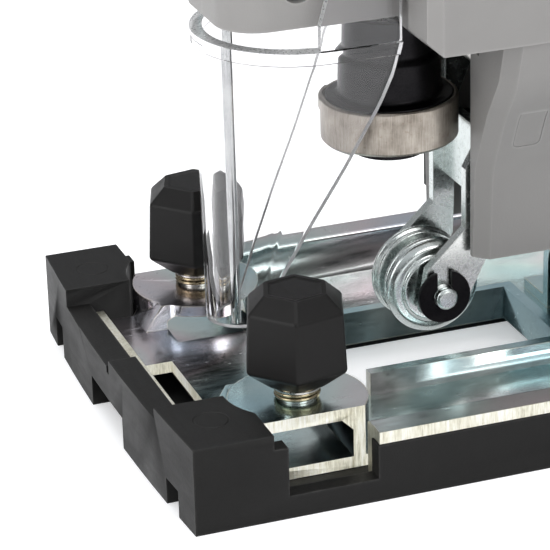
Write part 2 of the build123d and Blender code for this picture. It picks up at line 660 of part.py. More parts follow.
# Controls
trigger = box(18, 52, -6.8, 6.8, grip_bottom - 9, grip_bottom + 4.8)
trigger = fillet(trigger.edges().filter_by(Axis.Y).sort_by(Axis.Z)[:2], 4)
trigger += box(15.5, 54.5, -8.6, 8.6, grip_bottom + shell_wall + joint_gap, grip_bottom + 4.8)
save(trigger, "trigger", BLACK)
button = rod_y(-20, -9.5, 8, 178, 4.0) + rod_y(-13.8, -12.4, 8, 178, 5.6)
save(button, "lock_button", BLACK)
dial = rod_y(-4.0, 4.0, -6, 187.0, 11.0) + rod_y(-7.4, 7.4, -6, 187.0, 2.0)
for i in range(24):
    angle = i * math.pi / 12
    dial -= rod_y(-5, 5, -6 + 11.3 * math.sin(angle), 187.0 + 11.3 * math.cos(angle), 0.8)
save(dial, "speed_dial", BLACK)
selector = rod_y(-8.2, 18.0, 17.6, 40, 3.0) + rod_y(17.6, 21.6, 17.6, 40, 7.0)
selector += box(15.0, 20.2, 18.0, 21.2, 25.5, 40)
selector -= box(10, 16.4, -8.6, 8.6, 30, 50)
save(selector, "orbit_selector", BLACK)
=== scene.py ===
# %% [markdown]
# # A corded jigsaw, dressed piece by piece
#
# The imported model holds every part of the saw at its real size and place. This
# lesson puts the looks on it: rounded corners, wound springs, pressed steel and
# moulded plastic. Each step says what a piece is on the real saw, how it could be
# made in Blender, and why one way was chosen.

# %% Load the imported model
import json
import math

import bmesh
import bpy
from mathutils import Matrix, Vector


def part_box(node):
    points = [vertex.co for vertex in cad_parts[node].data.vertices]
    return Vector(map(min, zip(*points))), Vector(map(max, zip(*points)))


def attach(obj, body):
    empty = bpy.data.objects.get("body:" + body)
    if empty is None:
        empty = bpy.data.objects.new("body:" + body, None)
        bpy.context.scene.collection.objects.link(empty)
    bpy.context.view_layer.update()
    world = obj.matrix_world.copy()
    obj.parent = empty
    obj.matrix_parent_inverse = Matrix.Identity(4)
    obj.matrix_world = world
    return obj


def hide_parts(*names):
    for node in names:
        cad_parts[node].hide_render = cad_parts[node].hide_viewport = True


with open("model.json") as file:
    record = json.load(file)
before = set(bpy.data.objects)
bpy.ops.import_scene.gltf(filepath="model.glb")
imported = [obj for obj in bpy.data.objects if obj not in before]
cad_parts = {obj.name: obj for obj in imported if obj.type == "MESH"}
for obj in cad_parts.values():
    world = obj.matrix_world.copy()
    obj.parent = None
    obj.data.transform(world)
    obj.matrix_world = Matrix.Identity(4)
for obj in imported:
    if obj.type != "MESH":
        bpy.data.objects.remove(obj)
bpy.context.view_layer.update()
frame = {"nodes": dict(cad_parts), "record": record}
MM = 0.001

# %% [markdown]
# ## The camera
#
# A long lens close to the shoe shows the front of the saw the way a catalogue
# does: little perspective, the blade guard and the guide knobs large in the frame.
# The three directions below are the camera's own right, up and backward axes. A
# matrix made of them is easier to trust than three angles, because nothing depends
# on the order of turns.

# %% Place the camera
CAMERA_PLACE = Vector((-0.15931861, -0.39868246, 0.20279009))
CAMERA_RIGHT = Vector((0.94035666, -0.33917132, -0.0263093))
CAMERA_UP = Vector((0.15612218, 0.36154982, 0.91918855))
camera_back = CAMERA_RIGHT.cross(CAMERA_UP)

camera_data = bpy.data.cameras.new("camera")
camera_data.sensor_width = 36.0
camera_data.lens = 181.25
camera_data.clip_start = 0.01
camera = bpy.data.objects.new("camera", camera_data)
bpy.context.collection.objects.link(camera)
turn = Matrix((CAMERA_RIGHT, CAMERA_UP, camera_back)).transposed().to_4x4()
camera.matrix_world = Matrix.Translation(CAMERA_PLACE) @ turn
bpy.context.scene.camera = camera
print("camera looks along", [round(v, 3) for v in -camera_back])

# %% [markdown]
# ## Floor and light
#
# Bright metal only looks like metal when it has something to mirror: broad white
# panels, and a few darker gaps between them. So the room is a pale world that
# darkens towards one side, with three soft panels, and the floor is a large
# near-white sheet. Small lamps were the other choice, but they give hard dots on
# the curved steel.

# %% Build the floor
def deselect():
    """Leaves edit mode and deselects everything."""
    if bpy.context.mode != "OBJECT":
        bpy.ops.object.mode_set(mode="OBJECT")
    bpy.ops.object.select_all(action="DESELECT")


def named(name):
    """Names the piece that was just added, and its mesh."""
    piece = bpy.context.object
    piece.name = name
    piece.data.name = name
    return piece


deselect()
bpy.ops.mesh.primitive_plane_add(size=6.0, location=(0, 0, 0))
floor = named("studio_floor")
floor_finish = bpy.data.materials.new("studio_floor")
floor_finish.use_nodes = True
floor_shader = floor_finish.node_tree.nodes["Principled BSDF"]
floor_shader.inputs["Base Color"].default_value = (0.86, 0.86, 0.87, 1)
floor_shader.inputs["Roughness"].default_value = 0.75
floor_shader.inputs["Specular IOR Level"].default_value = 0.2
floor_shader.inputs["Emission Color"].default_value = (1, 1, 1, 1)
floor_shader.inputs["Emission Strength"].default_value = 0.35
floor.data.materials.append(floor_finish)

# %% Light the room
def soft_panel(name, place, target, width, height, watts, colour=(1, 1, 1)):
    """A broad area light at a place, turned to face a target."""
    data = bpy.data.lights.new(name, "AREA")
    data.shape = "RECTANGLE"
    data.size = width
    data.size_y = height
    data.energy = watts
    data.color = colour
    lamp = bpy.data.objects.new(name, data)
    bpy.context.collection.objects.link(lamp)
    lamp.location = place
    aim = Vector(target) - Vector(place)
    lamp.rotation_euler = aim.to_track_quat("-Z", "Y").to_euler()
    return lamp


soft_panel("panel_top", (0.05, 0.10, 0.95), (0, 0, 0), 1.1, 1.1, 8.0)
soft_panel("panel_front", (-0.95, -0.25, 0.42), (0, 0, 0.05), 0.5, 0.7, 4.0)
soft_panel("panel_left", (0.25, -0.90, 0.50), (0, 0, 0.05), 0.6, 0.35, 3.0)

world = bpy.data.worlds.new("room")
bpy.context.scene.world = world
world.use_nodes = True
room = world.node_tree
room_back = room.nodes["Background"]
room_place = room.nodes.new("ShaderNodeTexCoord")
room_split = room.nodes.new("ShaderNodeSeparateXYZ")
room_ramp = room.nodes.new("ShaderNodeValToRGB")
room.links.new(room_place.outputs["Generated"], room_split.inputs[0])
room.links.new(room_split.outputs["Z"], room_ramp.inputs["Fac"])
room_ramp.color_ramp.elements[0].position = 0.10
room_ramp.color_ramp.elements[0].color = (0.035, 0.037, 0.042, 1)
room_ramp.color_ramp.elements[1].position = 0.62
room_ramp.color_ramp.elements[1].color = (0.95, 0.97, 1.0, 1)
room.links.new(room_ramp.outputs["Color"], room_back.inputs["Color"])
room_back.inputs["Strength"].default_value = 0.75
bpy.context.scene.view_settings.view_transform = "Standard"

# %% [markdown]
# ## A short hand for finishes
#
# Every finish on the saw is a node tree: a colour that wanders a little, a
# roughness that wanders more, and a fine relief. Written out in full, each would
# be a page of node calls, so a small class keeps one tree and adds a node per
# call. All of them read Object coordinates in metres, so a grain size can be given
# as it would be measured on the part.

# %% Finish class
class Finish:
    """One material. Each method adds a node and returns its output."""

    def __init__(self, name, colour, roughness=0.5, metallic=0.0, **sockets):
        self.material = bpy.data.materials.new(name)
        self.material.use_nodes = True
        self.tree = self.material.node_tree
        self.shader = self.tree.nodes["Principled BSDF"]
        self.shader.inputs["Base Color"].default_value = (*colour, 1)
        self.shader.inputs["Roughness"].default_value = roughness
        self.shader.inputs["Metallic"].default_value = metallic
        for socket, value in sockets.items():
            self.shader.inputs[socket.replace("_", " ")].default_value = value
        self.place = self.tree.nodes.new("ShaderNodeTexCoord").outputs["Object"]

    def node(self, kind, links=(), **values):
        """A node of a kind, with settings, and links given as (input, output)."""
        made = self.tree.nodes.new("ShaderNode" + kind)
        for key, value in values.items():
            setattr(made, key, value)
        for key, source in links:
            if isinstance(source, bpy.types.NodeSocket):
                self.tree.links.new(source, made.inputs[key])
            else:
                made.inputs[key].default_value = source
        return made

    def stretched(self, scale, turn=(0, 0, 0)):
        """Object coordinates, squeezed or stretched along each axis."""
        links = [("Vector", self.place), ("Scale", scale), ("Rotation", turn)]
        return self.node("Mapping", links).outputs["Vector"]

    def noise(self, size_mm, detail=3.0, rough=0.55, scale=(1, 1, 1), bend=0.0, turn=(0, 0, 0)):
        """Clouds whose patches are about size_mm across."""
        links = [("Vector", self.stretched(scale, turn)), ("Scale", 1000.0 / size_mm)]
        links += [("Detail", detail), ("Roughness", rough), ("Distortion", bend)]
        return self.node("TexNoise", links).outputs["Fac"]

    def cells(self, size_mm, scale=(1, 1, 1), feature="F1"):
        """Rounded cells about size_mm across."""
        links = [("Vector", self.stretched(scale)), ("Scale", 1000.0 / size_mm)]
        return self.node("TexVoronoi", links, feature=feature).outputs["Distance"]

    def levels(self, source, low, high, bottom=0.0, top=1.0):
        """Stretches a range of values onto another."""
        links = [(0, source), (1, low), (2, high), (3, bottom), (4, top)]
        return self.node("MapRange", links).outputs[0]

    def ramp(self, source, stops):
        """Turns a value into a colour through (place, colour) stops."""
        made = self.node("ValToRGB", [("Fac", source)])
        ramp = made.color_ramp
        while len(ramp.elements) < len(stops):
            ramp.elements.new(0.5)
        for element, (place, colour) in zip(ramp.elements, stops):
            element.position = place
            element.color = (*colour, 1)
        return made.outputs["Color"]

    def sum(self, a, b, operation="ADD"):
        """Two values put together."""
        return self.node("Math", [(0, a), (1, b)], operation=operation).outputs[0]

    def mixed(self, share, a, b, mode="MIX"):
        """Two colours put together by a share."""
        made = self.node("Mix", data_type="RGBA", blend_type=mode)
        for key, source in ((0, share), (6, a), (7, b)):
            if isinstance(source, bpy.types.NodeSocket):
                self.tree.links.new(source, made.inputs[key])
            else:
                made.inputs[key].default_value = source if key == 0 else (*source, 1)
        return made.outputs[2]

    def edges(self, radius_mm, low=0.02, high=0.25):
        """One near a corner of the piece, nought on its flats."""
        rounded = self.node("Bevel", [("Radius", radius_mm * MM)], samples=4).outputs[0]
        flat = self.node("NewGeometry").outputs["Normal"]
        alike = self.node("VectorMath", [(0, rounded), (1, flat)], operation="DOT_PRODUCT")
        unlike = self.sum(1.0, alike.outputs["Value"], "SUBTRACT")
        return self.levels(unlike, low, high)

    def bump(self, height, depth_mm, strength=1.0, under=None):
        """A relief of about depth_mm from a value."""
        links = [("Height", height), ("Distance", depth_mm * MM), ("Strength", strength)]
        if under is not None:
            links.append(("Normal", under))
        return self.node("Bump", links).outputs["Normal"]

    def give(self, **sockets):
        """Links outputs to the shader's sockets and returns the material."""
        for socket, source in sockets.items():
            self.tree.links.new(source, self.shader.inputs[socket.replace("_", " ")])
        return self.material


finishes = {}
print("finish class ready")

# %% [markdown]
# ## Moulded plastics
#
# The housing is glass-filled nylon. Its mould is spark-eroded, which leaves a fine
# even grain, and the glass makes faint cloudy patches where the melt flowed. The
# black cover under the shoe is the same kind of plastic, but it is dragged over
# wood and metal, so its corners are rubbed paler. The knobs are harder and
# smoother. A photograph of grain would tile and smear, so noise at the real grain
# size does the work.

# %% Grey housing plastic
grey = Finish("grey_nylon", (0.26, 0.25, 0.245), 0.48, Specular_IOR_Level=0.35)
flow = grey.noise(38, detail=4, rough=0.6, bend=0.6)
grain = grey.noise(0.34, detail=2)
specks = grey.levels(grey.cells(3.1), 0.0, 0.045, 1.0, 0.0)
worn = grey.edges(0.8)
tone = grey.ramp(flow, [(0.30, (0.235, 0.228, 0.221)), (0.72, (0.285, 0.277, 0.268))])
tone = grey.mixed(grey.levels(worn, 0, 1, 0.0, 0.45), tone, (0.42, 0.41, 0.40))
tone = grey.mixed(grey.levels(specks, 0.55, 1.0, 0.0, 0.55), tone, (0.09, 0.085, 0.08))
shine = grey.sum(grey.levels(flow, 0.3, 0.7, 0.40, 0.52), grey.levels(grain, 0.3, 0.7, -0.04, 0.04))
finishes["grey_plastic"] = grey.give(
    Base_Color=tone, Roughness=shine, Normal=grey.bump(grain, 0.022, 0.8))

# %% Black cover plastic, with rubbed corners
def black_plastic(name, dark, pale, roughness, grain_mm, relief_mm, rub):
    """A moulded black plastic whose corners are rubbed by an amount."""
    made = Finish(name, dark, roughness, Specular_IOR_Level=0.17)
    flow = made.noise(26, detail=4, rough=0.6, bend=0.8)
    grain = made.noise(grain_mm, detail=2)
    scuffs = made.noise(2.6, detail=5, rough=0.7, scale=(1, 0.25, 1), bend=0.4)
    scuffed = made.levels(scuffs, 0.66, 0.80, 0.0, 0.35)
    corner = made.edges(0.7)
    broken = made.sum(corner, made.levels(scuffs, 0.35, 0.62), "MULTIPLY")
    colour = made.ramp(flow, [(0.32, dark), (0.70, tuple(1.35 * c for c in dark))])
    colour = made.mixed(made.levels(broken, 0, 1, 0.0, rub), colour, pale)
    colour = made.mixed(made.levels(scuffed, 0, 1, 0.0, 0.6 * rub), colour, pale)
    shine = made.levels(flow, 0.3, 0.7, roughness - 0.06, roughness + 0.07)
    shine = made.sum(shine, made.levels(scuffs, 0.4, 0.8, 0.0, 0.12))
    relief = made.bump(grain, relief_mm, 0.9)
    return made.give(Base_Color=colour, Roughness=shine, Normal=relief)


finishes["cover_plastic"] = black_plastic(
    "cover_plastic", (0.0085, 0.0083, 0.0080), (0.085, 0.083, 0.08), 0.46, 0.30, 0.030, 0.5)
finishes["knob_plastic"] = black_plastic(
    "knob_plastic", (0.0070, 0.0066, 0.0064), (0.06, 0.058, 0.056), 0.34, 0.42, 0.010, 0.45)
finishes["black_plastic"] = black_plastic(
    "small_part_plastic", (0.011, 0.011, 0.012), (0.08, 0.08, 0.08), 0.44, 0.26, 0.016, 0.4)
finishes["soft_grip"] = black_plastic(
    "soft_rubber", (0.016, 0.016, 0.017), (0.06, 0.06, 0.06), 0.72, 0.55, 0.060, 0.25)

# %% [markdown]
# ## Zinc plated steel
#
# The pressed plate is plated with zinc and passivated. The passivation is a film
# thinner than a wavelength of light, so the plate shows pale blue, green and rose
# patches. The edges were sheared, some after plating, and are rough and yellowish.
# A film shader could do the colours, but the export would lose it, so a slow noise
# picks them from a ramp. A second noise, drawn out along the rolling direction,
# gives the sheet its streaks.

# %% Plated sheet
def plated(name, stops, roughness, streak=(1, 1, 1), edge_colour=(0.72, 0.64, 0.46), edge=0.75):
    """A zinc plated steel with a coloured film and rough sheared edges."""
    made = Finish(name, stops[0][1], roughness, metallic=1.0)
    film = made.noise(42, detail=2, rough=0.4, bend=0.7)
    fine = made.noise(1.1, detail=4, rough=0.65, scale=streak)
    grain = made.noise(0.22, detail=3, rough=0.6, scale=streak)
    mottled = made.sum(film, made.levels(fine, 0.25, 0.75, -0.012, 0.012))
    colour = made.ramp(mottled, stops)
    pits = made.levels(made.noise(0.9, detail=2), 0.66, 0.74)
    colour = made.mixed(made.levels(pits, 0, 1, 0.0, 0.30), colour, (0.10, 0.12, 0.12))
    cut = made.edges(0.6)
    broken = made.sum(cut, made.levels(fine, 0.30, 0.60, 0.25, 1.0), "MULTIPLY")
    colour = made.mixed(made.levels(broken, 0, 1, 0.0, edge), colour, edge_colour)
    shine = made.levels(fine, 0.25, 0.75, roughness - 0.08, roughness + 0.10)
    shine = made.sum(shine, made.levels(cut, 0, 1, 0.0, 0.12))
    relief = made.bump(fine, 0.006, 0.4)
    relief = made.bump(grain, 0.005, 0.6, under=relief)
    return made.give(Base_Color=colour, Roughness=shine, Normal=relief)


# A dark steel for the inside of the guide tunnels: painted shade, where the light hardly reaches.
finishes["tunnel_shade_steel"] = plated("tunnel_shade_steel", [
    (0.30, (0.035, 0.045, 0.050)), (0.55, (0.070, 0.085, 0.090)), (0.75, (0.16, 0.17, 0.17))],
    0.32, edge_colour=(0.30, 0.28, 0.22))
finishes["zinc_steel"] = plated("plated_sheet", [
    (0.30, (0.32, 0.50, 0.57)), (0.42, (0.48, 0.65, 0.67)), (0.52, (0.65, 0.72, 0.70)),
    (0.60, (0.72, 0.65, 0.67)), (0.72, (0.52, 0.63, 0.73))], 0.20, streak=(0.25, 1, 1))
sheared_finish = Finish("sheared_steel", (0.78, 0.74, 0.62), 0.42, metallic=1.0)
ticks = sheared_finish.noise(0.42, detail=4, rough=0.75, scale=(1, 1, 0.10))
crumbs = sheared_finish.noise(0.30, detail=4, rough=0.7)
patina = sheared_finish.noise(7.0, detail=3)
cut_tone = sheared_finish.sum(sheared_finish.levels(ticks, 0.3, 0.7, 0.0, 0.6),
                              sheared_finish.levels(patina, 0.3, 0.7, 0.0, 0.4))
cut_colour = sheared_finish.ramp(cut_tone, [
    (0.10, (0.40, 0.37, 0.27)), (0.45, (0.74, 0.72, 0.60)), (0.85, (0.90, 0.90, 0.86))])
finishes["sheared_steel"] = sheared_finish.give(
    Base_Color=cut_colour, Roughness=sheared_finish.levels(crumbs, 0.3, 0.7, 0.30, 0.55),
    Normal=sheared_finish.bump(sheared_finish.sum(ticks, crumbs), 0.10, 0.8))
finishes["plated_bright"] = plated("plated_bright", [
    (0.30, (0.40, 0.48, 0.47)), (0.48, (0.56, 0.61, 0.60)), (0.70, (0.68, 0.67, 0.64))],
    0.24, edge_colour=(0.78, 0.78, 0.74), edge=0.45)

# %% [markdown]
# ## Bare, oiled and black metals
#
# The clamp ring is turned steel, its lines running round it; on a narrow ring they
# read as short upright ticks where the grinding crossed them. The socket and the
# retaining clips are blackened in hot salts and keep a thin film of oil. Inside the
# body are copper, bronze, laminated iron and cast alloy, which only show when
# somebody opens the model, but get the same care.

# %% Bare metals
def bare_metal(name, low, high, roughness, streak=(1, 1, 1), grain_mm=0.35, relief_mm=0.012,
               stain=0.0, stain_colour=(0.16, 0.10, 0.06), patch_mm=9.0):
    """A metal with drawn out grain and, if wanted, stains."""
    made = Finish(name, low, roughness, metallic=1.0)
    patches = made.noise(patch_mm, detail=4, rough=0.6)
    lines = made.noise(grain_mm, detail=4, rough=0.7, scale=streak)
    tone = made.sum(made.levels(patches, 0.3, 0.7, 0.0, 0.6), made.levels(lines, 0.3, 0.7, 0.0, 0.4))
    colour = made.ramp(tone, [(0.15, low), (0.85, high)])
    spots = made.levels(made.noise(0.7, detail=3, rough=0.6), 0.60, 0.72)
    colour = made.mixed(made.levels(spots, 0, 1, 0.0, stain), colour, stain_colour)
    shine = made.levels(lines, 0.3, 0.7, roughness - 0.07, roughness + 0.09)
    relief = made.bump(lines, relief_mm, 0.8)
    return made.give(Base_Color=colour, Roughness=shine, Normal=relief)


finishes["steel"] = bare_metal("ground_steel", (0.42, 0.41, 0.39), (0.62, 0.60, 0.57), 0.28)
finishes["ring_steel"] = bare_metal(
    "ring_steel", (0.17, 0.145, 0.12), (0.50, 0.455, 0.40), 0.36, streak=(1, 1, 0.07),
    grain_mm=0.30, relief_mm=0.030, stain=0.35, patch_mm=6.0)
finishes["black_steel"] = bare_metal(
    "blackened_steel", (0.006, 0.006, 0.007), (0.020, 0.019, 0.020), 0.36, relief_mm=0.004)
finishes["chrome_wire"] = bare_metal(
    "bright_wire", (0.30, 0.31, 0.32), (0.60, 0.61, 0.60), 0.12, streak=(1, 1, 0.05),
    relief_mm=0.004)
finishes["spring_steel"] = bare_metal(
    "spring_wire", (0.26, 0.21, 0.13), (0.52, 0.44, 0.29), 0.26, streak=(0.3, 0.3, 1),
    stain=0.3)
finishes["bronze"] = bare_metal("sintered_bronze", (0.38, 0.24, 0.10), (0.62, 0.44, 0.22), 0.42,
                                grain_mm=0.25, relief_mm=0.03, stain=0.4)
finishes["alloy"] = bare_metal("cast_alloy", (0.46, 0.47, 0.48), (0.66, 0.67, 0.68), 0.44,
                               grain_mm=0.8, relief_mm=0.05)
finishes["laminated_iron"] = bare_metal("laminated_iron", (0.22, 0.22, 0.23), (0.42, 0.41, 0.40),
                                        0.36, streak=(1, 0.04, 0.04), grain_mm=0.5, relief_mm=0.05)
finishes["copper"] = bare_metal("varnished_copper", (0.42, 0.16, 0.07), (0.75, 0.36, 0.18), 0.25,
                                streak=(1, 0.15, 0.15), grain_mm=0.45, relief_mm=0.10)
finishes["carbon"] = bare_metal("pressed_carbon", (0.020, 0.020, 0.021), (0.05, 0.05, 0.05), 0.5)

# %% [markdown]
# ## Clear guard plastic
#
# The guard is clear polycarbonate. It bends what lies behind it a little, shows
# bright lines where its rounded edges catch the panels, and has faint flow lines
# and dust. Its faces are one shader with full transmission; only their relief and
# roughness come from nodes. The cut faces of the wall get a second, pale and
# partly clear finish: a painted highlight for the bright lines at the edges.

# %% Clear plastic
clear = Finish("clear_guard", (0.955, 0.950, 0.955), 0.03, IOR=1.45, Transmission_Weight=1.0)
haze = clear.noise(9, detail=4, rough=0.6, bend=0.5)
hair = clear.noise(0.5, detail=3, scale=(1, 1, 0.08), rough=0.6)
finishes["clear_plastic"] = clear.give(
    Roughness=clear.levels(haze, 0.45, 0.8, 0.010, 0.05),
    Normal=clear.bump(clear.sum(haze, clear.levels(hair, 0.5, 0.8, 0, 0.03)), 0.008, 0.25))
# The pale, partly clear edge finish is a painted highlight: the bright lines that the guard's cut
# edges show in light.
edge_highlight = Finish("guard_edge_highlight", (0.80, 0.80, 0.80), 0.30, IOR=1.45, Transmission_Weight=0.55)
edge_highlight_grain = edge_highlight.noise(0.5, detail=4, rough=0.7)
finishes["guard_edge_highlight"] = edge_highlight.give(
    Base_Color=edge_highlight.ramp(edge_highlight.noise(3.0), [(0.3, (0.66, 0.67, 0.67)), (0.7, (0.90, 0.90, 0.90))]),
    Roughness=edge_highlight.levels(edge_highlight_grain, 0.3, 0.7, 0.20, 0.42),
    Normal=edge_highlight.bump(edge_highlight_grain, 0.02, 0.6))
print("finishes", sorted(finishes))

# %% [markdown]
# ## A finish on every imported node
#
# Each node says in the record which slot its material comes from. Most slots have
# one finish. A few nodes get a closer match: the knobs are smoother than the cover,
# and the roller is brighter than the sheet.

# %% Assign the finishes
slot_of = {row["node"]: row["material_slot"] for row in frame["record"]["subparts"]}
closer = {
    "shoe_cover": "cover_plastic", "clamp_ring": "ring_steel", "guide_roller": "plated_bright",
    "roller_fork": "plated_bright", "roller_pin": "plated_bright", "finger_wire": "chrome_wire",
    "motor_stator": "laminated_iron", "armature_core": "laminated_iron",
}
for node, piece in frame["nodes"].items():
    wanted = closer.get(node, slot_of[node])
    if node.endswith("guide_knob"):
        wanted = "knob_plastic"
    piece.data.materials.clear()
    piece.data.materials.append(finishes[wanted])
body_list = frame["record"]["behaviour"]["bodies"]
home = {node: body for body, nodes in body_list.items() for node in nodes}

# %% [markdown]
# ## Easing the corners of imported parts
#
# Nothing that is moulded or pressed has a corner as sharp as a CAD solid's. The
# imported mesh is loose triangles, so a copy of it is welded, its flat areas are
# dissolved back to whole faces, and then its corners are bevelled: first the wide
# bends that a press tool leaves, then the small break on every other edge. Doing it
# on a copy keeps the true shape and place, which a fresh model would have to
# measure again.

# %% Corner helpers
def sharp_edges(test=None, sharper=28.0):
    """Selects the edges that turn sharply and pass a test of middle and direction."""
    bpy.ops.mesh.select_mode(type="EDGE")
    bpy.ops.mesh.select_all(action="DESELECT")
    mesh = bmesh.from_edit_mesh(bpy.context.object.data)
    count = 0
    for edge in mesh.edges:
        if len(edge.link_faces) != 2:
            continue
        if edge.calc_face_angle() < math.radians(sharper):
            continue
        a, b = (v.co / MM for v in edge.verts)
        if test is None or test((a + b) / 2, (b - a).normalized()):
            edge.select_set(True)
            count += 1
    bmesh.update_edit_mesh(bpy.context.object.data)
    return count


def break_edges(width_mm, segments, test=None, sharper=28.0):
    """Bevels the sharp edges that pass the test."""
    count = sharp_edges(test, sharper)
    if count:
        bpy.ops.mesh.bevel(offset=width_mm * MM, segments=segments, affect="EDGES",
                           clamp_overlap=True, profile=0.5)
    return count


def finish_piece(piece, body, finish, nodes=(), smooth=32.0, second=None, where=None):
    """Shades a finished piece, gives it its finish and body, and hides the imported nodes that it
    replaces.

    where tells from a face's middle and normal which finish it gets: 0 for the first,
    1 or 2 for the ones in second.
    """
    deselect()
    bpy.context.view_layer.objects.active = piece
    piece.select_set(True)
    bpy.ops.object.shade_smooth_by_angle(angle=math.radians(smooth))
    flats = piece.modifiers.new("flats", "WEIGHTED_NORMAL")
    flats.keep_sharp = True
    flats.weight = 80
    bpy.ops.object.modifier_apply(modifier="flats")
    piece.data.materials.clear()
    piece.data.materials.append(finishes[finish])
    if second:
        for extra in second:
            piece.data.materials.append(finishes[extra])
        for face in piece.data.polygons:
            face.material_index = int(where(face.center / MM, face.normal))
    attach(piece, body)
    if nodes:
        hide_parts(*nodes)
    return piece


def eased(node, name, passes, smooth=32.0, flat=0.6, second=None, where=None):
    """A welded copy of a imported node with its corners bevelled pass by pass."""
    source = frame["nodes"][node]
    deselect()
    piece = bpy.data.objects.new(name, source.data.copy())
    piece.data.name = name
    bpy.context.collection.objects.link(piece)
    bpy.context.view_layer.objects.active = piece
    piece.select_set(True)
    bpy.ops.object.mode_set(mode="EDIT")
    bpy.ops.mesh.select_all(action="SELECT")
    bpy.ops.mesh.remove_doubles(threshold=2e-6)
    bpy.ops.mesh.normals_make_consistent(inside=False)
    bpy.ops.mesh.dissolve_limited(angle_limit=math.radians(flat))
    counts = [break_edges(*one) for one in passes]
    bpy.ops.object.mode_set(mode="OBJECT")
    finish = source.data.materials[0].name
    key = [k for k, v in finishes.items() if v.name == finish][0]
    finish_piece(piece, home[node], key, (node,), smooth, second, where)
    print(name, "edges bevelled", counts, "faces", len(piece.data.polygons))
    return piece


# %% [markdown]
# ## Shoe cover
#
# The black cover is an injection moulding that clips under the steel plate and
# keeps it from marking the work. Its block corners carry round ejector marks, and
# its edges have the small even radius that a mould maker puts on everything. One
# bevel pass does that.

# %% Shoe cover
eased("shoe_cover", "shoe_cover_moulding", [
    (0.45, 3, lambda m, d: m.z > 8 and abs(d.z) < 0.9 and abs(m.y) > 20),
    (0.22, 2)])

# %% [markdown]
# ## Pressed plate
#
# The plate is one sheet, two millimetres thick, folded and drawn in a press. A fold
# has a wide outer radius and a small inner one, while the sheared edges only have a
# slight break. The arches over the guide tunnels are drawn, so their shoulders are
# the roundest corners of all. The passes pick their edges by where they are.

# %% Pressed plate
def along_x(d):
    return abs(d.x) > 0.9


def along_y(d):
    return abs(d.y) > 0.9


def sheet_part(middle, normal):
    """1 where shears and punches cut the sheet, 2 inside the tunnels for their painted shade, and 0
    elsewhere.
    """
    inside = 3.7 < middle.z < 10.6 and -34.5 < middle.x < -19.4 and 12 < abs(middle.y) < 31.9
    if inside:
        return 2
    across, level = abs(middle.y), normal.z > 0.9
    lip_top = level and 7.5 < middle.z < 8.1 and 11.0 < across < 13.4 and middle.x > -9.2
    upstand_top = level and middle.z > 9.6 and middle.x < -43.0
    arch_end = abs(normal.y) > 0.9 and 32.2 < across < 32.8
    rim_edge = abs(normal.y) > 0.9 and across > 41.2
    front_end = normal.x < -0.9 and -19.0 < middle.x < -8.5 and across > 11.0
    window = -43.2 < middle.x < -37.6 and abs(normal.z) < 0.2 and across < 24 and middle.z < 8
    return lip_top or upstand_top or arch_end or rim_edge or front_end or window


# Faces inside the guide tunnels get the dark steel of painted shade.
plate = eased("base_plate", "base_plate_pressed", [
    (2.6, 6, lambda m, d: along_y(d) and m.z > 9.0 and m.x < -17 and abs(m.y) < 33),
    (1.3, 5, lambda m, d: m.z > 12.3 and abs(m.y) < 32.2),
    (1.5, 5, lambda m, d: along_y(d) and 5 < m.z < 9.0 and m.x < -30 and abs(m.y) > 12),
    (0.7, 4, lambda m, d: abs(d.x) > 0.99 and 35.5 < abs(m.y) < 39.5 and m.x > 0),
    (0.25, 2)], second=("sheared_steel", "tunnel_shade_steel"), where=sheet_part)

# %% [markdown]
# ## Housing halves and their small parts
#
# The two halves of the housing meet in the middle, where a thin shadow line shows.
# Their outer corners are generous, because hands touch them. The plugs, the trigger,
# the dial and the rest are small mouldings with a fine break on every edge.

# %% Housing and mouldings
for half in ("left", "right"):
    eased(f"housing_{half}", f"housing_{half}_moulding", [(0.35, 2)])
for node, width in (
        ("leg_plugs", 0.2), ("grip_pad", 0.4), ("trigger", 0.5), ("lock_button", 0.3),
        ("speed_dial", 0.25), ("orbit_selector", 0.4), ("cord_gland", 0.5), ("dust_port", 0.4),
        ("tilt_ridge", 0.4), ("ridge_rivets", 0.3), ("tilt_saddle", 0.3),
        ("bevel_clamp_shoe", 0.25), ("housing_screws", 0.15), ("roller_clips", 0.12)):
    eased(node, node + "_eased", [(width, 3)])

# %% [markdown]
# ## Turned parts
#
# The clamp ring, its collar, the blade socket and the guide roller are turned on a
# lathe. The way to model one is the way it is cut: start with a ring of points and
# walk along the profile, extruding and resizing the ring at every step. A spin of a
# drawn profile gives the same shape, but this walk needs no profile mesh and keeps
# every corner where the numbers say.

